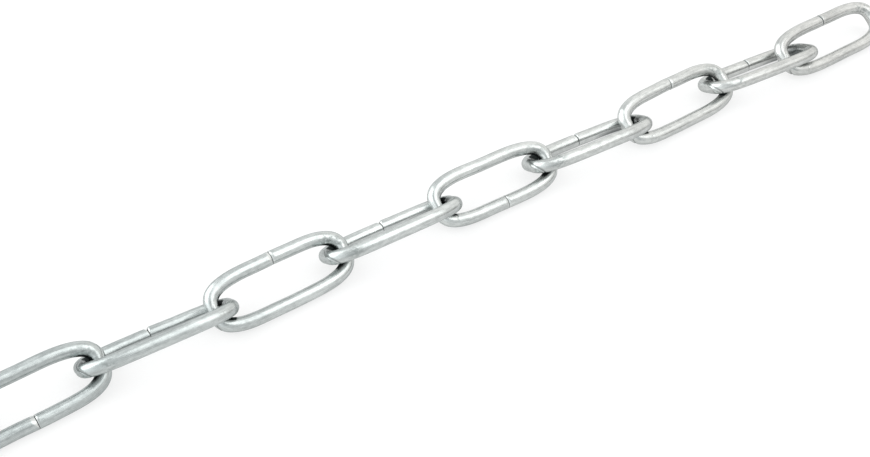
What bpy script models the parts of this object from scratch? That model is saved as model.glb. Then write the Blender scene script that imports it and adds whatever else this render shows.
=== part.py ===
"""One metre of long link steel chain: a straight run on a level floor, and the rest coiled behind it.

Every link is one wire, bent to a long loop and butted at the middle of one side. The links lie over
to one side and the other in turn, as a chain does on a floor, and each end hooks through its
neighbour's. The straight run lies along X, with the chain's free end at +X, and the coil lies flat
at -X. +Z is up, the floor is at Z = 0, and sizes are in metres.
"""

import math
from typing import NamedTuple

import bpy

# The link: its wire and its loop
WIRE = 0.0029
INNER_LENGTH = 0.026
OUTER_WIDTH = 0.0125
BEND_LENGTH = 0.011  # how far each end's bend reaches along the link
BEND_FULLNESS = 3.0  # exponent of the curve that the bend follows, where 2 is a plain ellipse

# The chain: how many links it has, and how they lie one after the other
LINK_COUNT = 39
RUN_COUNT = 12  # links in the straight run
RUN_REACH = 0.0125  # from a link's middle to where the next one hooks in, a little less than taut
RUN_LEAN = 33.0  # degrees that a link leans over, to one side and the other in turn
SWING = 2.0  # degrees that a link points to either side of the chain's course
SWING_RHYTHM = 2.7  # radians from link to link, so that the swing doesn't repeat evenly

# The coil that the rest of the chain lies in
COIL_RADIUS = 0.070  # where the coil starts
COIL_PITCH = 0.0155  # how far it closes in with each turn
COIL_REACH = 0.0121
COIL_LEAN = 40.0

# The wire's facets: one of twelve looks straight down where a link leans over by 30 degrees
WIRE_FACETS = 12
BEND_STEPS = 9
FACET_ANGLE = 360.0 / WIRE_FACETS
TRUE_LEAN = 30.0

HALF_LENGTH = (INNER_LENGTH + WIRE) / 2
HALF_WIDTH = (OUTER_WIDTH - WIRE) / 2


class SeenLink(NamedTuple):
    """A link as the photo shows it: degrees it leans over and swings, and metres beside and along the run."""

    lean: float
    swing: float
    beside: float
    from_last: float


class Lie(NamedTuple):
    """How a link lies: degrees that it leans over and heads to the left of +X, and its middle's place."""

    lean: float
    heading: float
    x: float
    y: float


# The links that the photo shows, from the chain's free end
SEEN_LINKS = (
    SeenLink(30.0, 1.0, -0.0008, 0.0),
    SeenLink(-29.0, -3.5, -0.0002, 0.0228),
    SeenLink(32.0, 2.0, 0.0001, 0.0248),
    SeenLink(-31.0, -2.5, 0.0002, 0.0251),
    SeenLink(31.0, -0.5, 0.0008, 0.0250),
    SeenLink(-37.0, -0.5, 0.0004, 0.0246),
    SeenLink(34.0, 1.5, 0.0003, 0.0254),
    SeenLink(-39.0, -1.5, -0.0002, 0.0253),
    SeenLink(36.0, 2.0, -0.0003, 0.0255),
)


def bend_point(turn):
    """A point of the wire's centre line in the bend at +X, for a turn in radians about the bend's middle."""
    along, across = math.cos(turn), math.sin(turn)
    reach = (abs(along) ** BEND_FULLNESS + abs(across) ** BEND_FULLNESS) ** (-1 / BEND_FULLNESS)
    return HALF_LENGTH - BEND_LENGTH + BEND_LENGTH * along * reach, HALF_WIDTH * across * reach


def link_outline():
    """The centre line of the wire, once round the loop."""
    turns = [math.radians(-90 + 180 * step / BEND_STEPS) for step in range(BEND_STEPS + 1)]
    far_bend = [bend_point(turn) for turn in turns]
    return far_bend + [(-x, -y) for x, y in far_bend]


def seen_lies():
    """The lies of the links that the photo shows, along the line Y = 0 towards -X."""
    lies = []
    x = 0.0
    for link in SEEN_LINKS:
        x -= link.from_last
        lies.append(Lie(link.lean, link.swing, x, link.beside))
    return lies


def coil_bend(turned):
    """Degrees from link to link, where the coil has turned by so many degrees."""
    radius = COIL_RADIUS - COIL_PITCH * turned / 360
    return 2 * math.degrees(math.asin(COIL_REACH / radius))


def lean_of(index):
    """Degrees that an unseen link leans over, to one side and the other in turn."""
    if index == LINK_COUNT - 1:
        lean = TRUE_LEAN
    elif index < RUN_COUNT:
        lean = RUN_LEAN
    else:
        lean = COIL_LEAN
    return lean if index % 2 == 0 else -lean


def chain_lies():
    """The lie of every link, from the free end to the inner end of the coil."""
    lies = seen_lies()
    x, y = lies[-1].x, lies[-1].y
    course = 0.0
    for index in range(len(lies), LINK_COUNT):
        bend = coil_bend(-course) if index >= RUN_COUNT else 0.0
        if index == RUN_COUNT:
            bend /= 2
        reach = COIL_REACH if index >= RUN_COUNT else RUN_REACH
        for way in (course, course - bend):
            x -= reach * math.cos(math.radians(way))
            y -= reach * math.sin(math.radians(way))
        course -= bend
        swing = SWING * math.sin(SWING_RHYTHM * index)
        lies.append(Lie(lean_of(index), course + swing, x, y))
    return lies


def floor_middle(lies):
    """The middle of the rectangle of floor that the chain covers."""
    xs, ys = [], []
    for lie in lies:
        heading = math.radians(lie.heading)
        for along, across in link_outline():
            across *= math.cos(math.radians(lie.lean))
            xs.append(lie.x + along * math.cos(heading) - across * math.sin(heading))
            ys.append(lie.y + along * math.sin(heading) + across * math.cos(heading))
    return (min(xs) + max(xs)) / 2, (min(ys) + max(ys)) / 2


def link_curve(name, lean):
    """The bent wire, whose facets are turned about it so that one of them lies flat on the floor."""
    curve = bpy.data.curves.new(name, "CURVE")
    curve.dimensions = "3D"
    curve.twist_mode = "Z_UP"
    curve.bevel_depth = WIRE / 2 / math.cos(math.radians(FACET_ANGLE / 2))
    curve.bevel_resolution = (WIRE_FACETS - 4) // 2
    outline = link_outline()
    spline = curve.splines.new("POLY")
    spline.points.add(len(outline) - 1)
    spline.use_cyclic_u = True
    facet_turn = FACET_ANGLE / 2 - (abs(lean) - TRUE_LEAN)
    for point, (x, y) in zip(spline.points, outline):
        point.co = (x, y, 0.0, 1.0)
        point.tilt = math.radians(facet_turn)
    return curve


def zinc_plate():
    """Bright zinc plated steel."""
    material = bpy.data.materials.new("bright_zinc")
    material.use_nodes = True
    shader = material.node_tree.nodes["Principled BSDF"]
    shader.inputs["Base Color"].default_value = (0.72, 0.74, 0.74, 1.0)
    shader.inputs["Metallic"].default_value = 1.0
    shader.inputs["Roughness"].default_value = 0.32
    return material


def add_link(name, lie, middle, material):
    """Lays one link on the floor, in a chain whose middle comes to the origin."""
    curve = link_curve(name, lie.lean)
    curve.materials.append(material)
    link = bpy.data.objects.new(name, curve)
    lean = math.radians(lie.lean)
    height = WIRE / 2 + HALF_WIDTH * abs(math.sin(lean))
    link.location = (lie.x - middle[0], lie.y - middle[1], height)
    link.rotation_euler = (lean, 0.0, math.radians(lie.heading))
    bpy.context.scene.collection.objects.link(link)


def main():
    for old in list(bpy.data.objects):
        bpy.data.objects.remove(old)
    material = zinc_plate()
    lies = chain_lies()
    middle = floor_middle(lies)
    for number, lie in enumerate(lies, start=1):
        add_link(f"link_{number:02d}", lie, middle, material)


main()
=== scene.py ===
"""Dresses one metre of long link steel chain as it lies: bent wire links in bright zinc plate.

Every link is one length of drawn wire, swept round its loop from one cut end to the other, where the
two ends meet in a butt joint. The wire is a little fuller where it bends, and a little flatter along
the inner sides of its straight stretches. The bending dies leave nicks, a crease and scuffs. The zinc
has drawn streaks and grain. Painted shade gives a thin dark line along the wire's inner side, dark
patches, near-black crevices where links meet and, with grime, the crease's dark bottom; painted light
makes the links bluer and darker towards the left.
"""

import logging
import math
from bisect import bisect_right
from dataclasses import dataclass, field, replace
from enum import Enum

import bmesh
import bpy
import numpy as np
from mathutils import Euler, Matrix, Vector, noise


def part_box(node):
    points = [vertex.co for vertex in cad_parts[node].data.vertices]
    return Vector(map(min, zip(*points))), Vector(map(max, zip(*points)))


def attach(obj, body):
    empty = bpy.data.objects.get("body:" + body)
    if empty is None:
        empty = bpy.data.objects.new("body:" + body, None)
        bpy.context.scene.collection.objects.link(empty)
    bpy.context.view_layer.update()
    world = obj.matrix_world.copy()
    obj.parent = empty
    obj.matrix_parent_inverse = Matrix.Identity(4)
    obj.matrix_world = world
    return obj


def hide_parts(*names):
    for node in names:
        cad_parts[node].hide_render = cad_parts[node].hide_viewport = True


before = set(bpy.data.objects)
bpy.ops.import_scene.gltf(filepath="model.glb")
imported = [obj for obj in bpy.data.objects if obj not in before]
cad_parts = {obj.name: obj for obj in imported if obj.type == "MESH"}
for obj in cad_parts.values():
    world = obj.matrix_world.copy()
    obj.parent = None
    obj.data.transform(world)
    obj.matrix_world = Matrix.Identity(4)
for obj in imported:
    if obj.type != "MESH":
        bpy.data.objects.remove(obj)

LOG = logging.getLogger("chain")
MILLIMETRE = 0.001
SAME_POINT_DIGITS = 7  # decimals of a metre to which two corners of a solid's triangles are one point
MIDDLE_LINK = "link_05"  # the link that the camera is placed from, and that the lights are turned to
FIRST_BEND, SECOND_BEND = 0.25, 0.75  # shares of the way round a loop to the middles of its two bends

Colour = tuple[float, float, float, float]
Span = tuple[float, float]
Value = bpy.types.NodeSocket | float | Colour

WHITE: Colour = (1.0, 1.0, 1.0, 1.0)


class SeamSide(Enum):
    """The long side of a link that its butt joint is on, with the chain's free end to the right."""

    NEAR = -1
    FAR = 1


class MixKind(Enum):
    """What a mix node mixes: numbers, or a colour laid over or tinting another one."""

    NUMBERS = "NUMBERS"
    OVER = "MIX"
    TINT = "MULTIPLY"


def middle_of(name: str) -> Vector:
    """The middle of the box of the named solid."""
    return sum(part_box(name), Vector()) / 2


def varied(number: int, rhythm: float, phase: float = 0.0) -> float:
    """A number from -1 to 1 that differs from link to link, for the link with this number."""
    return math.sin(number * rhythm + phase)


def half_noise(spot: Vector) -> float:
    """A noise that goes from 0 to 1."""
    return 0.5 + 0.5 * noise.noise(spot)


def swing_from(middle: float, turn: float) -> float:
    """How far a turn about the wire is from another one, the short way round."""
    return (turn - middle + math.pi) % (2 * math.pi) - math.pi


@dataclass(frozen=True)
class LinkLie:
    """Where one link of the frame lies: its middle, and its axes along, across and out of its loop."""

    middle: Vector
    along: Vector
    across: Vector
    normal: Vector

    @classmethod
    def of_node(cls, node: bpy.types.Object, towards: Vector) -> "LinkLie":
        """Reads a link's lie from its solid, whose loop is longest along, narrower across and flat.

        Args:
            node: The frame's solid for the link.
            towards: A direction that the link's +X axis comes nearest to.

        Returns:
            The lie, with its normal pointing up.
        """
        corners = np.array([vertex.co for vertex in node.data.vertices], float)
        points = np.unique(corners.round(SAME_POINT_DIGITS), axis=0)
        middle = points.mean(axis=0)
        _, axes = np.linalg.eigh(np.cov((points - middle).T))
        along = Vector(axes[:, 2])
        if along.dot(towards) < 0:
            along.negate()
        normal = Vector(axes[:, 0])
        if normal.z < 0:
            normal.negate()
        return cls(Vector(middle), along, normal.cross(along), normal)

    def matrix(self) -> Matrix:
        """The transform from a link drawn flat at the origin to its place in the chain."""
        turned = Matrix((self.along, self.across, self.normal)).transposed().to_4x4()
        return Matrix.Translation(self.middle) @ turned


@dataclass
class WireLoop:
    """The centre line of a link's wire, traced once round from the middle of its +Y side towards +X.

    A way is a length of wire from that start.
    """

    half_length: float = 14.45 * MILLIMETRE
    half_width: float = 4.8 * MILLIMETRE
    bend_length: float = 11.0 * MILLIMETRE
    bend_fullness: float = 3.0
    bend_steps: int = 240
    line_steps: int = 120
    tangent_step: float = 0.15 * MILLIMETRE
    bending_step: float = 0.8 * MILLIMETRE
    sharpest_turn: float = 0.22
    points: list[Vector] = field(default_factory=list, init=False)
    lengths: list[float] = field(default_factory=list, init=False)

    def __post_init__(self) -> None:
        """Traces the loop and measures the way to each of its points."""
        turns = [math.pi / 2 - math.pi * step / self.bend_steps for step in range(self.bend_steps + 1)]
        far_bend = [self.bend_point(turn) for turn in turns]
        start = Vector((0.0, self.half_width, 0.0))
        self.points = [start] + far_bend + [-point for point in far_bend] + [start.copy()]
        self.lengths = [0.0]
        for last, point in zip(self.points, self.points[1:]):
            self.lengths.append(self.lengths[-1] + (point - last).length)

    def bend_point(self, turn: float) -> Vector:
        """A point of the bend at +X, which follows a full curve and not a plain ellipse.

        Args:
            turn: The point's turn about the bend's middle, in radians.

        Returns:
            The point.
        """
        along, across = math.cos(turn), math.sin(turn)
        power = self.bend_fullness
        reach = (abs(along) ** power + abs(across) ** power) ** (-1 / power)
        x = self.half_length - self.bend_length + self.bend_length * along * reach
        return Vector((x, self.half_width * across * reach, 0.0))

    @property
    def length(self) -> float:
        """The length of the wire, once round."""
        return self.lengths[-1]

    def at(self, way: float) -> Vector:
        """Finds a point of the centre line.

        Args:
            way: The point's way, which may go more than once round.

        Returns:
            The point.
        """
        way %= self.length
        index = min(max(bisect_right(self.lengths, way), 1), len(self.lengths) - 1)
        start, end = self.lengths[index - 1], self.lengths[index]
        share = (way - start) / (end - start) if end > start else 0.0
        return self.points[index - 1].lerp(self.points[index], share)

    def trimmed(self, along: float, trim: float) -> float:
        """Where a point lies along the link, once its -X half is shorter by so much at the end."""
        return along * (1.0 - trim / self.half_length) if along < 0 else along

    def line(self, lie: LinkLie, trim: float) -> np.ndarray:
        """Traces the centre line of a link in its place.

        Args:
            lie: Where the link lies.
            trim: How much shorter than the others it is at its -X end.

        Returns:
            Points along the line, once round, one in each row.
        """
        place = lie.matrix()
        points = [self.at(self.length * step / self.line_steps) for step in range(self.line_steps)]
        return np.array([place @ Vector((self.trimmed(x, trim), y, z)) for x, y, z in points])

    def section(self, way: float) -> Matrix:
        """Finds how a flat ring has to stand to go round the wire.

        Args:
            way: The ring's way.

        Returns:
            The ring's transform, after which its X points out of the loop and its Y up.
        """
        ahead, behind = self.at(way + self.tangent_step), self.at(way - self.tangent_step)
        tangent = (ahead - behind).normalized()
        normal = Vector((0.0, 0.0, 1.0))
        outward = normal.cross(tangent)
        turned = Matrix((outward, normal, tangent)).transposed().to_4x4()
        return Matrix.Translation(self.at(way)) @ turned

    def bending(self, way: float) -> float:
        """Measures how sharply the wire bends.

        Args:
            way: Where it is measured.

        Returns:
            A number from 0 where the wire is straight to 1 where it bends at its sharpest.
        """
        shifts = (-self.bending_step, 0.0, self.bending_step)
        before, here, after = (self.at(way + shift) for shift in shifts)
        turned = (here - before).angle(after - here, 0.0)
        return min(1.0, turned / self.sharpest_turn)


@dataclass(frozen=True)
class CutEnds:
    """How the two cut ends of one link's wire meet.

    The first end's wire runs on towards the link's +X bend where the joint is on its far side, and
    towards its -X bend where it is on its near side. Each end has a facet where the blade pinched it
    off. The blade's turn is about the wire, from 0 on the outside of the loop to a quarter turn on its
    upper face. The ends spring a little apart: both outward, and the first one up.
    """

    along: float = 0.0
    first_facet: float = 0.33 * MILLIMETRE
    second_facet: float = 0.36 * MILLIMETRE
    facet_end: float = 1.4
    slope: float = 0.8
    rounding: float = 0.15
    unevenness: float = 0.30
    uneven_scale: float = 1.6
    second_seed: float = 9.1
    burr_depth: float = 0.02 * MILLIMETRE
    burr_width: float = 0.3
    blade_turn: float = 1.3
    lift: float = 0.05 * MILLIMETRE
    first_rise: float = 0.08 * MILLIMETRE
    gap: float = 0.05 * MILLIMETRE
    sprung_length: float = 6.0 * MILLIMETRE
    sprung_curve: float = 1.6

    def facet(self, first: bool, turn: float, seed: float) -> float:
        """How far the facet of one of the ends reaches along the wire.

        Args:
            first: Whether it is the first end.
            turn: Where it is about the wire.
            seed: A number of the link's own, for its unevenness.

        Returns:
            The reach from the cut end, in metres.
        """
        reach = self.first_facet if first else self.second_facet
        bitten = self.rounding + (1.0 - self.rounding) * max(0.0, math.cos(turn - self.blade_turn))
        out, up = self.uneven_scale * math.cos(turn), self.uneven_scale * math.sin(turn)
        spot = Vector((out, up, seed + (0.0 if first else self.second_seed)))
        return reach * bitten * (1.0 + self.unevenness * noise.noise(spot))

    def relief(self, inset: float, facet: float) -> float:
        """How far the facet and the burr behind it are below the round wire.

        Args:
            inset: The length of wire from the cut end.
            facet: How far the facet reaches from the cut end.

        Returns:
            The depth, as a negative number.
        """
        if inset > self.facet_end * facet:
            return 0.0
        burr = self.burr_depth * max(0.0, 1.0 - abs(inset / facet - 1.0) / self.burr_width)
        return -burr - self.slope * max(0.0, facet - inset)

    def spring(self, inset: float) -> float:
        """How much of its spring an end has, so far in from the cut, from 1 at the cut to 0."""
        return max(0.0, 1.0 - inset / self.sprung_length) ** self.sprung_curve


@dataclass(frozen=True)
class DieMark:
    """A groove that a bending die left across part of the wire, straight across it or aslant.

    Its turn and its spread to either side of that are about the wire, in radians.
    """

    way: float
    turn: float
    depth: float
    width: float = 0.24 * MILLIMETRE
    spread: float = 1.1
    slant: float = 0.0
    curl: float = 0.0
    wire_radius: float = 1.45 * MILLIMETRE
    straight_rings: tuple[float, ...] = (-0.5, -0.25, 0.0, 0.25, 0.5)
    slant_samples: int = 10

    def middle(self, swing: float) -> float:
        """The way of the groove's middle, for a swing about the wire from the groove's own turn."""
        return self.way + self.slant * swing + self.curl * swing**2

    def stations(self, gap: float) -> list[float]:
        """Where rings have to stand along the wire to show the groove.

        Args:
            gap: How far apart the rings stand on a groove that runs aslant.

        Returns:
            The rings' ways.
        """
        if not self.slant:
            return [self.way + self.width * share for share in self.straight_rings]
        samples = range(-self.slant_samples, self.slant_samples + 1)
        middles = [self.middle(self.spread * sample / self.slant_samples) for sample in samples]
        start, end = min(middles) - self.width, max(middles) + self.width
        count = round((end - start) / gap)
        return [start + (end - start) * step / count for step in range(count + 1)]

    def relief(self, way: float, turn: float) -> float:
        """How far the groove goes below the surface.

        Args:
            way: Where it is along the wire.
            turn: Where it is about the wire.

        Returns:
            The depth, as a negative number.
        """
        swing = swing_from(self.turn, turn)
        if abs(swing) >= self.spread:
            return 0.0
        steepness = (self.slant + 2 * self.curl * swing) / self.wire_radius
        off = 2 * (way - self.middle(swing)) / (self.width * math.hypot(1.0, steepness))
        if abs(off) >= 1.0:
            return 0.0
        return -self.depth * (1.0 - off**2) * (1.0 - (swing / self.spread) ** 2)


@dataclass(frozen=True)
class Patch:
    """A patch of the wire that is scuffed, or darkened with painted shade, and fades out towards its rim.

    It reaches so far along the wire and spreads so far about it, to either side of its middle.
    """

    way: float
    turn: float
    reach: float
    spread: float
    strength: float

    def from_bend(self, bend: float) -> "Patch":
        """This patch, whose way is counted from a bend's middle, with its way from the loop's start."""
        return replace(self, way=bend + self.way)

    def share(self, way: float, turn: float) -> float:
        """How strongly the patch shows.

        Args:
            way: Where it is along the wire.
            turn: Where it is about the wire.

        Returns:
            A number from 0 outside the patch to its strength in its middle.
        """
        along = 1.0 - ((way - self.way) / self.reach) ** 2
        about = 1.0 - (swing_from(self.turn, turn) / self.spread) ** 2
        return self.strength * max(0.0, along) * max(0.0, about)


@dataclass(frozen=True)
class Station:
    """One ring of the wire: its way from the cut end and round the loop, transform and bending."""

    way: float
    round_loop: float
    section: Matrix
    bending: float


@dataclass
class ChainLink:
    """One link: its wire, its butt joint and its bends with their marks, as a single closed mesh."""

    name: str
    number: int
    lie: LinkLie
    side: SeamSide
    loop: WireLoop
    neighbours: list[np.ndarray]
    cut: CutEnds
    marks: list[DieMark]
    scuffs: list[Patch]
    painted_shade_patches: list[Patch]
    end_trim: float
    wire: float = 2.87 * MILLIMETRE
    ring_sides: int = 40
    station_gap: float = 0.5 * MILLIMETRE
    mark_gap: float = 0.10 * MILLIMETRE
    least_gap: float = 0.005 * MILLIMETRE
    merge_distance: float = 0.001 * MILLIMETRE
    facet_rings: tuple[float, ...] = (0.12, 0.25, 0.4, 0.55, 0.7, 0.85, 1.0, 1.15, 1.35)
    facet_seed: float = 3.7
    outer_swell: float = 0.02
    inner_swell: float = 0.06
    inner_flat: float = 0.045
    waviness: float = 0.016 * MILLIMETRE
    wave_scale: float = 600.0
    wave_round: float = 1.3
    wave_seed: float = 7.3
    straight_waves: float = 0.6
    sway: float = 0.22 * MILLIMETRE
    sway_scale: float = 140.0
    sway_seed: float = 5.3
    pattern_step: float = 100.0 * MILLIMETRE
    full_cut_depth: float = 0.03 * MILLIMETRE
    joint_width: float = 0.08 * MILLIMETRE
    # The bottom of a deep groove is darkened with grime and painted shade.
    darkened_depth: float = 0.06 * MILLIMETRE
    undarkened_share: float = 0.6
    groove_darkening: float = 0.6
    crevice_reach: float = 2.3 * MILLIMETRE
    facing_gain: float = 1.6

    @property
    def joint_on_floor(self) -> bool:
        """Whether the side that the joint is on is the one that lies on the floor."""
        return (self.lie.across.z < 0) == (self.side is SeamSide.FAR)

    def stations(self) -> list[Station]:
        """Sets out the rings: evenly along the wire, and closer at the cut ends and the marks.

        Returns:
            The rings, from the first cut end to the second.
        """
        start, end = self.cut.gap / 2, self.loop.length - self.cut.gap / 2
        count = round((end - start) / self.station_gap)
        ways = {start + (end - start) * step / count for step in range(count + 1)}
        for share in self.facet_rings:
            ways.add(start + self.cut.first_facet * share)
            ways.add(end - self.cut.second_facet * share)
        shift = self.cut.along if self.side is SeamSide.FAR else -self.cut.along
        for mark in self.marks:
            ways.update(way - shift for way in mark.stations(self.mark_gap))
        kept = []
        for way in sorted(ways):
            if not kept or way - kept[-1].way > self.least_gap:
                spot = way + shift
                kept.append(Station(way, spot, self.loop.section(spot), self.loop.bending(spot)))
        return kept

    def draw(self, shape: bmesh.types.BMesh) -> None:
        """Draws the wire: a sheet with a row for each ring, rolled up round the wire and closed.

        The sheet is one unit wide, so that a corner's place in it gives its row and its turn.

        Args:
            shape: The empty mesh that takes the wire, which lies flat at the origin.
        """
        place = shape.verts.layers.float_vector.new("wire_place")
        names = ("cut_end", "grime_and_painted_shade", "bend", "inside", "scuffed")
        cut_end, grime_and_painted_shade, bend, inside, scuffed = (shape.verts.layers.float.new(name) for name in names)
        stations = self.stations()
        shifts = [self._shift_of(station) for station in stations]
        last = len(stations) - 1
        bmesh.ops.create_grid(shape, x_segments=last, y_segments=self.ring_sides, size=0.5)
        for vertex in shape.verts:
            row = round((vertex.co.x + 0.5) * last)
            station, shift = stations[row], shifts[row]
            turn = 2 * math.pi * (vertex.co.y + 0.5)
            out, up = math.cos(turn), math.sin(turn)
            first = station.way < self.loop.length / 2
            inset = min(station.way, self.loop.length - station.way) - self.cut.gap / 2
            bevel = self.cut.relief(inset, self.cut.facet(first, turn, self.facet_seed * self.number))
            grooves = [mark.relief(station.round_loop, turn) for mark in self.marks]
            radius = self.wire / 2 + bevel + self._wave_relief(station, out, up)
            radius += sum(grooves)
            outward = radius * out * self._swell(station, out)
            vertex.co = station.section @ Vector((outward + shift[0], radius * up + shift[1], 0.0))
            lengthwise = station.way + self.number * self.pattern_step
            vertex[place] = Vector((lengthwise, self.wire / 2 * out, self.wire / 2 * up))
            vertex[cut_end] = min(1.0, -bevel / self.full_cut_depth)
            # The dark butt joint, grime and painted shade in the crease's bottom, and painted shade in
            # patches go into one mask.
            in_groove = min(self.groove_darkening, -min(grooves) / self.darkened_depth - self.undarkened_share)
            patch_shade = max(patch.share(station.round_loop, turn) for patch in self.painted_shade_patches)
            vertex[grime_and_painted_shade] = max(0.0, 1.0 - inset / self.joint_width, in_groove, patch_shade)
            vertex[bend] = station.bending
            vertex[inside] = -out
            vertex[scuffed] = max(patch.share(station.round_loop, turn) for patch in self.scuffs)
        bmesh.ops.remove_doubles(shape, verts=shape.verts, dist=self.merge_distance)
        bmesh.ops.holes_fill(shape, edges=[edge for edge in shape.edges if edge.is_boundary])

    def _swell(self, station: Station, out: float) -> float:
        """How much fuller than round the wire is, outward or inward.

        Args:
            station: The ring.
            out: How far outward on the ring it is, from -1 to 1.

        Returns:
            A factor for the wire's reach outward or inward.
        """
        if out > 0:
            return 1.0 + station.bending * self.outer_swell
        return 1.0 + station.bending * self.inner_swell - (1.0 - station.bending) * self.inner_flat

    def _wave_relief(self, station: Station, out: float, up: float) -> float:
        """How far the drawn and bent wire is below its full round.

        Args:
            station: The ring.
            out: How far outward on the ring it is, from -1 to 1.
            up: How far up on the ring it is, from -1 to 1.

        Returns:
            The depth, as a negative number.
        """
        spot = Vector((station.way * self.wave_scale, out * self.wave_round, up * self.wave_round))
        spot.z += self.number * self.wave_seed
        return -self.waviness * (self.straight_waves + station.bending) * half_noise(spot)

    def _shift_of(self, station: Station) -> tuple[float, float]:
        """How far the wire's middle is off its true line, from its sway and the spring of its ends.

        Args:
            station: The ring.

        Returns:
            The shifts outward and up.
        """
        spot = Vector((station.way * self.sway_scale, self.number * self.sway_seed, 0.0))
        sway = self.sway * (1.0 - station.bending) * half_noise(spot)
        first = station.way < self.loop.length / 2
        spring = self.cut.spring(station.way if first else self.loop.length - station.way)
        lift = 0.0 if self.joint_on_floor else self.cut.lift
        return spring * lift - sway, spring * (self.cut.first_rise if first else 0.0)

    def crevices(self, mesh: bpy.types.Mesh) -> np.ndarray:
        """Finds how deep each vertex lies between this link and its neighbours.

        Args:
            mesh: The link's mesh, where it lies.

        Returns:
            For each vertex, a number from 0 in the open to 1 where it faces a neighbour's wire closely.
        """
        count = len(mesh.vertices)
        points, normals = np.empty(count * 3), np.empty(count * 3)
        mesh.vertices.foreach_get("co", points)
        mesh.vertex_normals.foreach_get("vector", normals)
        points, normals = points.reshape(-1, 3), normals.reshape(-1, 3)
        rows = np.arange(count)
        depth = np.zeros(count)
        for line in self.neighbours:
            away = line[None] - points[:, None]
            reach = np.linalg.norm(away, axis=2)
            nearest = reach.argmin(axis=1)
            gap = reach[rows, nearest]
            facing = (normals * away[rows, nearest]).sum(axis=1) / gap
            close = np.clip(1.0 - (gap - self.wire / 2) / self.crevice_reach, 0.0, 1.0)
            depth = np.maximum(depth, close * np.clip(facing * self.facing_gain, 0.0, 1.0))
        return depth

    def build(self, finish: bpy.types.Material) -> bpy.types.Object:
        """Models the link where it lies and dresses it.

        Args:
            finish: The link's material.

        Returns:
            The finished piece, which replaces the frame's solid of this link.
        """
        shape = bmesh.new()
        self.draw(shape)
        if self.side is SeamSide.NEAR:
            half_turn = Matrix.Rotation(math.pi, 3, "Z")
            bmesh.ops.rotate(shape, verts=shape.verts, cent=(0, 0, 0), matrix=half_turn)
        for vertex in shape.verts:
            vertex.co.x = self.loop.trimmed(vertex.co.x, self.end_trim)
        bmesh.ops.transform(shape, matrix=self.lie.matrix(), verts=shape.verts)
        bmesh.ops.recalc_face_normals(shape, faces=shape.faces)
        for face in shape.faces:
            face.smooth = True
        mesh = bpy.data.meshes.new(self.name)
        shape.to_mesh(mesh)
        shape.free()
        # The crevice depth, which the material turns into painted shade.
        crevice = mesh.attributes.new("crevice", "FLOAT", "POINT")
        crevice.data.foreach_set("value", self.crevices(mesh))
        mesh.materials.append(finish)
        piece = bpy.data.objects.new(f"{self.name}_wire", mesh)
        bpy.context.scene.collection.objects.link(piece)
        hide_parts(self.name)
        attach(piece, "root")
        return piece


@dataclass(frozen=True)
class Mottle:
    """A noise along the wire: how wide its spots are, how many times as long, and how fine they get."""

    width: float
    stretch: float
    detail: float
    roughness: float = 0.55

    @property
    def scale(self) -> float:
        """The scale of the noise, whose spots are about half of a period wide."""
        return 0.5 / self.width


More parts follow.
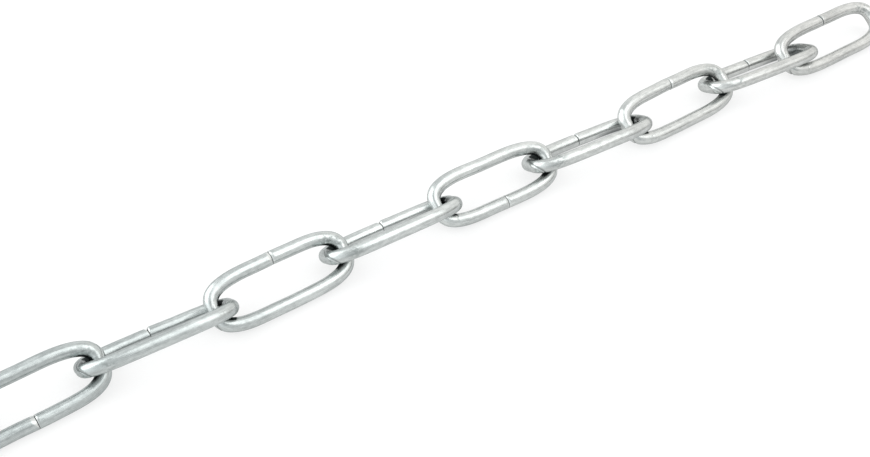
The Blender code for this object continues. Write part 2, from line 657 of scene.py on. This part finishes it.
@dataclass
class NodeSketch:
    """A node tree, with short ways to add the nodes that the looks here are made of."""

    tree: bpy.types.NodeTree

    def feed(self, socket: bpy.types.NodeSocket, value: Value) -> None:
        """Links a value to an input, or sets the input to a number or colour.

        Args:
            socket: The input.
            value: What it takes.
        """
        if isinstance(value, bpy.types.NodeSocket):
            self.tree.links.new(value, socket)
        else:
            socket.default_value = value

    def attribute(self, name: str, output: str = "Fac") -> bpy.types.NodeSocket:
        """Reads one of the mesh's own attributes.

        Args:
            name: The attribute's name.
            output: The node's output that is used.

        Returns:
            The value.
        """
        node = self.tree.nodes.new("ShaderNodeAttribute")
        node.attribute_name = name
        return node.outputs[output]

    def part(self, coordinates: str, axis: str) -> bpy.types.NodeSocket:
        """Reads one axis of the coordinates.

        Args:
            coordinates: The name of their kind.
            axis: The axis.

        Returns:
            The value.
        """
        place = self.tree.nodes.new("ShaderNodeTexCoord")
        parts = self.tree.nodes.new("ShaderNodeSeparateXYZ")
        self.feed(parts.inputs["Vector"], place.outputs[coordinates])
        return parts.outputs[axis]

    def noise(self, place: bpy.types.NodeSocket, mottle: Mottle) -> bpy.types.NodeSocket:
        """A noise whose spots are drawn out along the wire.

        Args:
            place: The place on the straight wire.
            mottle: What the noise is like.

        Returns:
            The noise, from 0 to 1.
        """
        mapping = self.tree.nodes.new("ShaderNodeMapping")
        mapping.inputs["Scale"].default_value = (1.0 / mottle.stretch, 1.0, 1.0)
        self.feed(mapping.inputs["Vector"], place)
        texture = self.tree.nodes.new("ShaderNodeTexNoise")
        texture.inputs["Scale"].default_value = mottle.scale
        texture.inputs["Detail"].default_value = mottle.detail
        texture.inputs["Roughness"].default_value = mottle.roughness
        self.feed(texture.inputs["Vector"], mapping.outputs["Vector"])
        return texture.outputs["Fac"]

    def ranged(self, value: Value, taken: Span, given: Span = (0.0, 1.0)) -> bpy.types.NodeSocket:
        """Turns one range of a value into another, and holds it there.

        Args:
            value: The value.
            taken: The range's start and end, in either order.
            given: What the value becomes at them and past them.

        Returns:
            The new value.
        """
        node = self.tree.nodes.new("ShaderNodeMapRange")
        node.inputs["From Min"].default_value, node.inputs["From Max"].default_value = taken
        node.inputs["To Min"].default_value, node.inputs["To Max"].default_value = given
        self.feed(node.inputs["Value"], value)
        return node.outputs["Result"]

    def math(self, operation: str, *terms: Value) -> bpy.types.NodeSocket:
        """Works out a value from others.

        Args:
            operation: The operation of a Math node.
            terms: The values and numbers that it takes.

        Returns:
            The new value.
        """
        node = self.tree.nodes.new("ShaderNodeMath")
        node.operation = operation
        for term, socket in zip(terms, node.inputs):
            self.feed(socket, term)
        return node.outputs["Value"]

    def product(self, first: Value, second: Value) -> bpy.types.NodeSocket:
        """Two values, one times the other."""
        return self.math("MULTIPLY", first, second)

    def with_share(self, value: Value, share: float, more: Value) -> bpy.types.NodeSocket:
        """A share of one value, and the whole of another."""
        return self.math("MULTIPLY_ADD", value, share, more)

    def mixed(self, kind: MixKind, share: Value, first: Value, second: Value) -> bpy.types.NodeSocket:
        """Two values mixed.

        Args:
            kind: What is mixed, and how.
            share: How much of the second there is, from 0 to 1.
            first: The first number or colour.
            second: The second number or colour.

        Returns:
            The mixed value.
        """
        mix = self.tree.nodes.new("ShaderNodeMix")
        if kind is not MixKind.NUMBERS:
            mix.data_type = "RGBA"
            mix.blend_type = kind.value
        self.feed(mix.inputs["Factor"], share)
        self.feed(mix.inputs["A"], first)
        self.feed(mix.inputs["B"], second)
        return mix.outputs["Result"]

    def bumped(
        self, height: Value, distance: float, under: bpy.types.NodeSocket | None = None
    ) -> bpy.types.NodeSocket:
        """Gives a surface a fine relief.

        Args:
            height: The relief, from 0 to 1.
            distance: How high it is, in metres.
            under: The normal of a relief that it lies on, if there is one.

        Returns:
            The surface's normal.
        """
        bump = self.tree.nodes.new("ShaderNodeBump")
        bump.inputs["Distance"].default_value = distance
        self.feed(bump.inputs["Height"], height)
        if under:
            self.feed(bump.inputs["Normal"], under)
        return bump.outputs["Normal"]


@dataclass(frozen=True)
class BrightZinc:
    """Bright zinc plate on drawn wire, satin and streaked, with painted shade near black where links
    meet.
    """

    streaks: Mottle = Mottle(0.22 * MILLIMETRE, 16.0, 3.0)
    grain: Mottle = Mottle(0.30 * MILLIMETRE, 2.0, 3.0)
    blotches: Mottle = Mottle(1.6 * MILLIMETRE, 3.0, 2.0)
    dents: Mottle = Mottle(0.9 * MILLIMETRE, 2.5, 1.0)
    speckles: Mottle = Mottle(0.30 * MILLIMETRE, 1.3, 3.0)
    streak_share: float = 0.55
    grain_share: float = 0.42
    tone_span: Span = (0.40, 0.60)
    light: Colour = (0.590, 0.612, 0.600, 1.0)
    dark: Colour = (0.425, 0.445, 0.438, 1.0)
    # Painted light: tints that make the links bluer towards the left of the room and yellower towards the
    # right.
    painted_cool_light: Colour = (0.971, 1.0, 1.011, 1.0)
    painted_warm_light: Colour = (1.025, 1.0, 0.996, 1.0)
    painted_tint_span: Span = (-0.035, 0.17)
    # Painted shade: factors that make the plate darker towards the left of the room, over this span of X.
    shade_span: Span = (-0.035, 0.045)
    shades: Span = (0.85, 1.02)
    cut: Colour = (0.62, 0.64, 0.63, 1.0)
    # A dark colour for the butt joint, for grime and painted shade in the crease, and for painted shade
    # in patches and in a thin line.
    grime_and_shade_colour: Colour = (0.13, 0.14, 0.14, 1.0)
    scuffed: Colour = (0.26, 0.285, 0.28, 1.0)
    scuff_span: Span = (0.46, 0.58)
    scuff_roughness: float = 0.2
    # Painted shade: a thin dark line along the innermost side of the wire.
    line_waver: float = 0.02
    line_span: Span = (0.999, 1.015)
    line_bends: Span = (0.40, 0.15)
    line_shares: Span = (0.0, 0.9)
    # Painted shade: a near-black colour laid in the crevices where links face each other closely.
    painted_crevice_shade: Colour = (0.02, 0.026, 0.026, 1.0)
    shaded_sides: Span = (0.0, 0.55)
    shaded_side_shares: Span = (0.15, 1.0)
    shaded_bends: Span = (0.25, 0.50)
    crevice_speckle: float = 0.28
    crevice_shade_span: Span = (0.46, 0.66)
    crevice_roughness: float = 0.25
    edge_tint: Colour = (0.70, 0.71, 0.71, 1.0)
    gloss_span: Span = (0.35, 0.65)
    gloss_range: Span = (0.22, 0.36)
    straight_grain: float = 0.35
    bent_grain: float = 0.9
    relief: float = 0.014 * MILLIMETRE
    dent_relief: float = 0.06 * MILLIMETRE

    def material(self) -> bpy.types.Material:
        """Builds the finish as shader nodes.

        Returns:
            The material, which reads all of the attributes that a link has.
        """
        material = bpy.data.materials.new("bright_zinc")
        material.use_nodes = True
        sketch = NodeSketch(material.node_tree)
        shader = material.node_tree.nodes["Principled BSDF"]
        shader.inputs["Metallic"].default_value = 1.0
        shader.inputs["Specular Tint"].default_value = self.edge_tint

        place = sketch.attribute("wire_place", "Vector")
        cut_end = sketch.attribute("cut_end")
        streaks = sketch.noise(place, self.streaks)
        grain = sketch.noise(place, self.grain)
        blotches = sketch.noise(place, self.blotches)
        dents = sketch.noise(place, self.dents)
        speckles = sketch.noise(place, self.speckles)

        tone = sketch.mixed(MixKind.NUMBERS, self.streak_share, blotches, streaks)
        tone = sketch.mixed(MixKind.NUMBERS, self.grain_share, tone, grain)
        tone = sketch.ranged(tone, self.tone_span)
        plate = sketch.mixed(MixKind.OVER, tone, self.dark, self.light)
        # Painted light and shade: the plate is tinted bluer and made darker towards the left of the room,
        # by where the link lies.
        across_room = sketch.part("Object", "X")
        painted_light_tint = sketch.mixed(MixKind.OVER, sketch.ranged(across_room, self.painted_tint_span), self.painted_cool_light, self.painted_warm_light)
        plate = sketch.mixed(MixKind.TINT, 1.0, plate, painted_light_tint)
        shade = sketch.ranged(across_room, self.shade_span, self.shades)
        plate = sketch.mixed(MixKind.TINT, 1.0, plate, shade)
        rubbed = sketch.product(sketch.ranged(speckles, self.scuff_span), sketch.attribute("scuffed"))
        plate = sketch.mixed(MixKind.OVER, rubbed, plate, self.scuffed)
        plate = sketch.mixed(MixKind.OVER, cut_end, plate, self.cut)
        # Darkens the butt joint, the crease's bottom and the patches: grime and painted shade.
        plate = sketch.mixed(MixKind.OVER, sketch.attribute("grime_and_painted_shade"), plate, self.grime_and_shade_colour)

        inside, bend = sketch.attribute("inside"), sketch.attribute("bend")
        # Painted shade: a thin, slightly wavering dark line along the innermost side of the straight
        # stretches, fading out into the bends.
        painted_shade_line = sketch.ranged(sketch.with_share(blotches, self.line_waver, inside), self.line_span)
        painted_shade_line = sketch.product(painted_shade_line, sketch.ranged(bend, self.line_bends, self.line_shares))
        plate = sketch.mixed(MixKind.OVER, painted_shade_line, plate, self.grime_and_shade_colour)
        # Painted shade: inside the bends, where the wire faces a neighbour closely, it is painted near
        # black and broken up by speckles. The same mask makes it rougher.
        within = sketch.ranged(inside, self.shaded_sides, self.shaded_side_shares)
        within = sketch.product(within, sketch.ranged(bend, self.shaded_bends))
        hidden = sketch.product(within, sketch.attribute("crevice"))
        crevice_shade = sketch.ranged(sketch.with_share(speckles, self.crevice_speckle, hidden), self.crevice_shade_span)
        sketch.feed(shader.inputs["Base Color"], sketch.mixed(MixKind.OVER, crevice_shade, plate, self.painted_crevice_shade))

        gloss = sketch.ranged(streaks, self.gloss_span, self.gloss_range)
        rough = sketch.with_share(rubbed, self.scuff_roughness, gloss)
        rough = sketch.with_share(crevice_shade, self.crevice_roughness, rough)
        sketch.feed(shader.inputs["Roughness"], rough)

        worked = sketch.with_share(bend, self.bent_grain, self.straight_grain)
        pitted = sketch.math("MULTIPLY_ADD", grain, worked, streaks)
        fine = sketch.bumped(pitted, self.relief)
        sketch.feed(shader.inputs["Normal"], sketch.bumped(dents, self.dent_relief, fine))
        return material


@dataclass(frozen=True)
class Dies:
    """The bending dies, with the marks and scuffs that links get from them, and the patches of painted
    shade on links.

    The way of a nick, crease or patch is counted here from the middle of a bend.
    """

    loop: WireLoop
    nick_places: tuple[tuple[float, float], ...] = (
        (FIRST_BEND, -5.2 * MILLIMETRE),
        (FIRST_BEND, 5.4 * MILLIMETRE),
        (SECOND_BEND, -6.3 * MILLIMETRE),
    )
    nick_depth: float = 0.03 * MILLIMETRE
    nick_turn: float = 1.3
    nick_swing: float = 1.9
    nick_swing_rhythm: float = 1.3
    nick_rhythm: float = 3.1
    nick_phase: float = 2.0
    nick_rarity: float = -0.2
    crease: DieMark = DieMark(
        way=-2.89 * MILLIMETRE,
        turn=0.0,
        depth=0.13 * MILLIMETRE,
        width=0.34 * MILLIMETRE,
        spread=2.1,
        slant=1.30 * MILLIMETRE,
        curl=0.71 * MILLIMETRE,
    )
    crease_variety: float = 0.03 * MILLIMETRE
    crease_rhythm: float = 1.9
    right_scuff: Patch = Patch(-3.3 * MILLIMETRE, 2.0, 3.8 * MILLIMETRE, 1.1, 0.75)
    scuff_variety: float = 0.2
    scuff_rhythm: float = 1.1
    left_scuff: Patch = Patch(-6.8 * MILLIMETRE, 0.5, 1.9 * MILLIMETRE, 1.7, 0.8)
    odd_left_strength: float = 0.3
    # Painted shade: a dark patch low on the far side by the right bend, and on two links one inside that
    # bend.
    painted_side_shade: Patch = Patch(-6.5 * MILLIMETRE, 3.85, 6.5 * MILLIMETRE, 0.7, 0.9)
    painted_bend_shade: Patch = Patch(-2.5 * MILLIMETRE, 3.5, 5.0 * MILLIMETRE, 1.3, 1.1)
    painted_shade_bends: tuple[int, ...] = (2, 4)

    def right_bend(self, side: SeamSide) -> float:
        """The way of the middle of a link's right bend, for the side that its joint is on."""
        return self.loop.length * (FIRST_BEND if side is SeamSide.FAR else SECOND_BEND)

    def marks(self, number: int) -> list[DieMark]:
        """The grooves on a link.

        Args:
            number: The link's number.

        Returns:
            Its small nicks by the bends, and the crease across one of them.
        """
        nicks = []
        for index, (bend, shift) in enumerate(self.nick_places):
            if varied(number, self.nick_rhythm, index * self.nick_phase) > self.nick_rarity:
                turn = self.nick_turn + self.nick_swing * varied(number, self.nick_swing_rhythm, index)
                nicks.append(DieMark(self.loop.length * bend + shift, turn, self.nick_depth))
        crease = replace(
            self.crease,
            way=self.loop.length * SECOND_BEND + self.crease.way,
            depth=self.crease.depth + self.crease_variety * varied(number, self.crease_rhythm),
        )
        return nicks + [crease]

    def scuffs(self, number: int, side: SeamSide) -> list[Patch]:
        """The rough patches on a link.

        Args:
            number: The link's number.
            side: The side that its joint is on.

        Returns:
            The patch inside its right bend, and the one across the wire by its left bend.
        """
        right = self.right_bend(side)
        strength = self.right_scuff.strength + self.scuff_variety * varied(number, self.scuff_rhythm)
        inside = replace(self.right_scuff.from_bend(right), strength=strength)
        across = self.left_scuff.from_bend(self.loop.length - right)
        if number % 2:
            across = replace(across, strength=self.odd_left_strength)
        return [inside, across]

    def painted_shade_patches(self, number: int, side: SeamSide) -> list[Patch]:
        """The patches of painted shade on a link.

        Args:
            number: The link's number.
            side: The side that its joint is on.

        Returns:
            The patch low on its far side, and on some links the one inside the right bend.
        """
        right = self.right_bend(side)
        patches = [self.painted_side_shade.from_bend(right)]
        if number in self.painted_shade_bends:
            patches.append(self.painted_bend_shade.from_bend(right))
        return patches


def seen_cut_ends() -> dict[int, CutEnds]:
    """Sets out the cut ends of the nine links that can be seen.

    Returns:
        The cut ends by the link's number, counted from the chain's free end.
    """
    # Each row: the link's number, its joint's shift and its two facets in millimetres, the facets'
    # slope, the blade's turn in radians, and the first end's rise in millimetres.
    rows = (
        (9, 0.27, 0.75, 0.28, 0.30, 2.2, 0.02),
        (8, -0.70, 0.45, 0.50, 0.75, 1.2, 0.14),
        (7, 0.42, 0.50, 0.55, 0.35, 1.4, 0.0),
        (6, -0.35, 0.45, 0.50, 0.75, 1.2, 0.10),
        (5, 1.15, 0.32, 0.36, 0.55, 1.4, 0.0),
        (4, 0.0, 0.40, 0.45, 0.75, 1.1, 0.08),
        (3, 0.50, 0.45, 0.45, 0.30, 1.6, 0.0),
        (2, 0.10, 0.30, 0.45, 0.60, 1.5, 0.05),
        (1, -0.25, 0.14, 0.55, 0.35, 1.2, 0.0),
    )
    return {
        number: CutEnds(
            along=along * MILLIMETRE,
            first_facet=first * MILLIMETRE,
            second_facet=second * MILLIMETRE,
            slope=slope,
            blade_turn=turn,
            first_rise=rise * MILLIMETRE,
        )
        for number, along, first, second, slope, turn, rise in rows
    }


def seen_end_trims() -> dict[int, float]:
    """How much shorter some links are at their left ends, by number. A negative one is longer."""
    return {1: -0.90 * MILLIMETRE, 5: 1.05 * MILLIMETRE, 7: 0.50 * MILLIMETRE}


@dataclass
class Chain:
    """The whole chain: its links as they lie, each with its joint on the side that it shows.

    The links' numbers count from the chain's free end.
    """

    finish: BrightZinc = field(default_factory=BrightZinc)
    loop: WireLoop = field(default_factory=WireLoop)
    last_seen: int = 9
    near_seams: tuple[int, ...] = (5, 9)
    near_seam_rhythm: int = 4
    seen_cuts: dict[int, CutEnds] = field(default_factory=seen_cut_ends)
    unseen_cut: CutEnds = CutEnds(
        along=0.9 * MILLIMETRE,
        first_facet=0.30 * MILLIMETRE,
        second_facet=0.38 * MILLIMETRE,
        blade_turn=1.4,
        first_rise=0.05 * MILLIMETRE,
    )
    along_rhythm: float = 1.7
    cut_rhythm: float = 2.4
    facet_variety: float = 0.08 * MILLIMETRE
    blade_variety: float = 0.5
    end_trims: dict[int, float] = field(default_factory=seen_end_trims)

    def lies(self) -> dict[str, LinkLie]:
        """Reads where every link lies.

        Returns:
            The lies by the link's name, each with its +X axis towards the chain's free end.
        """
        names = sorted(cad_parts)
        middles = [middle_of(name) for name in names]
        lies = {}
        for index, name in enumerate(names):
            ahead = max(index - 1, 0)
            towards = middles[ahead] - middles[ahead + 1]
            lies[name] = LinkLie.of_node(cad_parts[name], towards)
        return lies

    def seam_side(self, number: int) -> SeamSide:
        """Finds the side that a link's joint is on.

        Args:
            number: The link's number.

        Returns:
            The side, as seen on the run, and by turns past it.
        """
        by_turns = number % self.near_seam_rhythm == self.near_seam_rhythm // 2
        if number in self.near_seams or (number > self.last_seen and by_turns):
            return SeamSide.NEAR
        return SeamSide.FAR

    def cut_ends(self, number: int) -> CutEnds:
        """Finds how a link's ends meet.

        Args:
            number: The link's number.

        Returns:
            The cut ends, as seen on the run, and past it a little different from link to link.
        """
        if number in self.seen_cuts:
            return self.seen_cuts[number]
        plain = self.unseen_cut
        swing = varied(number, self.cut_rhythm)
        return replace(
            plain,
            along=plain.along * varied(number, self.along_rhythm),
            first_facet=plain.first_facet + self.facet_variety * swing,
            second_facet=plain.second_facet - self.facet_variety * swing,
            blade_turn=plain.blade_turn + self.blade_variety * swing,
            first_rise=plain.first_rise * (1.0 + swing),
        )

    def build(self) -> list[bpy.types.Object]:
        """Builds every link.

        Returns:
            The pieces, from the chain's free end.
        """
        material = self.finish.material()
        dies = Dies(self.loop)
        lies = self.lies()
        trims = [self.end_trims.get(number, 0.0) for number in range(1, len(lies) + 1)]
        lines = [self.loop.line(lie, trim) for lie, trim in zip(lies.values(), trims)]
        pieces = []
        for index, (name, lie) in enumerate(lies.items()):
            number = index + 1
            side = self.seam_side(number)
            link = ChainLink(
                name=name,
                number=number,
                lie=lie,
                side=side,
                loop=self.loop,
                neighbours=lines[max(index - 1, 0) : index] + lines[index + 1 : index + 2],
                cut=self.cut_ends(number),
                marks=dies.marks(number),
                scuffs=dies.scuffs(number, side),
                painted_shade_patches=dies.painted_shade_patches(number, side),
                end_trim=trims[index],
            )
            pieces.append(link.build(material))
        return pieces


@dataclass(frozen=True)
class SoftPanel:
    """A flat soft light, turned to the chain, with one of its edges along a given direction."""

    name: str
    place: tuple[float, float, float]
    edge: tuple[float, float, float]
    size: tuple[float, float]
    radiance: float
    colour: tuple[float, float, float]

    def build(self, target: Vector) -> None:
        """Hangs the light in the studio.

        Args:
            target: The point that the light is turned to.
        """
        light = bpy.data.lights.new(self.name, "AREA")
        light.shape = "RECTANGLE"
        light.size, light.size_y = self.size
        light.energy = self.radiance * math.pi * self.size[0] * self.size[1]
        light.color = self.colour
        panel = bpy.data.objects.new(self.name, light)
        back = (Vector(self.place) - target).normalized()
        edge = Vector(self.edge)
        edge = (edge - edge.dot(back) * back).normalized()
        turned = Matrix((edge, back.cross(edge), back)).transposed().to_4x4()
        panel.matrix_world = Matrix.Translation(self.place) @ turned
        bpy.context.scene.collection.objects.link(panel)


@dataclass
class Studio:
    """A plain pale floor, two broad soft lights, and a pale room that is dimmer low on its near right."""

    floor_size: float = 6.0
    floor_colour: Colour = (0.24, 0.24, 0.24, 1.0)
    floor_glow: float = 0.70
    floor_roughness: float = 0.9
    floor_specular: float = 0.1
    overhead: SoftPanel = SoftPanel(
        name="overhead_panel",
        place=(0.72, -0.74, 2.10),
        edge=(0.28, -0.96, 0.0),
        size=(2.5, 1.25),
        radiance=1.33,
        colour=(0.99, 1.0, 1.0),
    )
    behind: SoftPanel = SoftPanel(
        name="panel_behind",
        place=(-1.25, 1.22, 1.38),
        edge=(0.0, -0.67, 0.74),
        size=(2.6, 2.26),
        radiance=1.55,
        colour=(0.99, 1.0, 0.99),
    )
    room_left: Colour = (0.97, 1.0, 1.01, 1.0)
    room_right: Colour = (1.01, 1.0, 0.985, 1.0)
    right_span: Span = (-0.1, 0.6)
    far_span: Span = (-0.3, 0.5)
    near_left_strength: float = 0.80
    far_left_strength: float = 1.0
    right_strength: float = 1.30
    low_span: Span = (0.38, 0.14)
    near_span: Span = (-0.1, -0.4)
    dim_right_span: Span = (0.45, 0.60)
    dim_right_shares: Span = (0.12, 1.0)
    dim_strength: float = 0.40
    bright_left_span: Span = (-0.2, -0.7)
    bright_left_strength: float = 1.9

    def build_floor(self) -> None:
        """Lays the floor that the chain lies on."""
        shape = bmesh.new()
        bmesh.ops.create_grid(shape, x_segments=1, y_segments=1, size=self.floor_size / 2)
        mesh = bpy.data.meshes.new("floor")
        shape.to_mesh(mesh)
        shape.free()
        material = bpy.data.materials.new("pale_floor")
        material.use_nodes = True
        shader = material.node_tree.nodes["Principled BSDF"]
        shader.inputs["Base Color"].default_value = self.floor_colour
        shader.inputs["Roughness"].default_value = self.floor_roughness
        shader.inputs["Specular IOR Level"].default_value = self.floor_specular
        shader.inputs["Emission Color"].default_value = WHITE
        shader.inputs["Emission Strength"].default_value = self.floor_glow
        mesh.materials.append(material)
        floor = bpy.data.objects.new("floor", mesh)
        bpy.context.scene.collection.objects.link(floor)

    def build_room(self) -> None:
        """Surrounds the chain with a pale room, whose brightness goes with the direction."""
        world = bpy.data.worlds.new("room")
        world.use_nodes = True
        sketch = NodeSketch(world.node_tree)
        background = world.node_tree.nodes["Background"]
        right = sketch.part("Generated", "X")
        rightward = sketch.ranged(right, self.right_span)
        far = sketch.part("Generated", "Y")
        left = sketch.ranged(far, self.far_span, (self.near_left_strength, self.far_left_strength))
        strength = sketch.mixed(MixKind.NUMBERS, rightward, left, self.right_strength)
        low = sketch.ranged(sketch.part("Generated", "Z"), self.low_span)
        dim = sketch.product(low, sketch.ranged(far, self.near_span))
        dim = sketch.product(dim, sketch.ranged(right, self.dim_right_span, self.dim_right_shares))
        dimmed = sketch.ranged(dim, (0.0, 1.0), (1.0, self.dim_strength))
        strength = sketch.product(strength, dimmed)
        brightened = sketch.ranged(right, self.bright_left_span, (1.0, self.bright_left_strength))
        strength = sketch.product(strength, brightened)
        sketch.feed(background.inputs["Strength"], strength)
        colour = sketch.mixed(MixKind.OVER, rightward, self.room_left, self.room_right)
        sketch.feed(background.inputs["Color"], colour)
        bpy.context.scene.world = world

    def build(self) -> None:
        """Lays the floor, surrounds it with the room and hangs the lights."""
        self.build_floor()
        self.build_room()
        target = middle_of(MIDDLE_LINK)
        for panel in (self.overhead, self.behind):
            panel.build(target)


@dataclass
class PhotoCamera:
    """The camera, where the photograph was taken from. Its angles are in degrees, its lens in mm."""

    from_middle_link: tuple[float, float] = (-108.46 * MILLIMETRE, -142.17 * MILLIMETRE)
    height: float = 177.08 * MILLIMETRE
    heading: float = -32.826
    lean: float = -0.768
    tilt: float = 43.669
    lens: float = 49.2
    sensor_width: float = 36.0
    clip_start: float = 10.0 * MILLIMETRE

    def build(self) -> None:
        """Places the camera and makes it the scene's own."""
        camera = bpy.data.cameras.new("camera")
        camera.sensor_width = self.sensor_width
        camera.lens = self.lens
        camera.clip_start = self.clip_start
        holder = bpy.data.objects.new("camera", camera)
        middle = middle_of(MIDDLE_LINK)
        shift_x, shift_y = self.from_middle_link
        holder.location = (middle.x + shift_x, middle.y + shift_y, self.height)
        turn = (math.radians(self.tilt), math.radians(self.lean), math.radians(self.heading))
        holder.rotation_euler = Euler(turn, "XYZ")
        bpy.context.scene.collection.objects.link(holder)
        bpy.context.scene.camera = holder
        bpy.context.scene.view_settings.view_transform = "Standard"


def main() -> None:
    """Builds the camera, the studio and the chain, and reports each piece."""
    logging.basicConfig(level=logging.INFO, format="%(name)s: %(message)s")
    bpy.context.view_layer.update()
    PhotoCamera().build()
    Studio().build()
    pieces = Chain().build()
    for piece in pieces:
        LOG.info("%s: %d faces", piece.name, len(piece.data.polygons))
    LOG.info("%d links dressed", len(pieces))


if __name__ == "__main__":
    main()
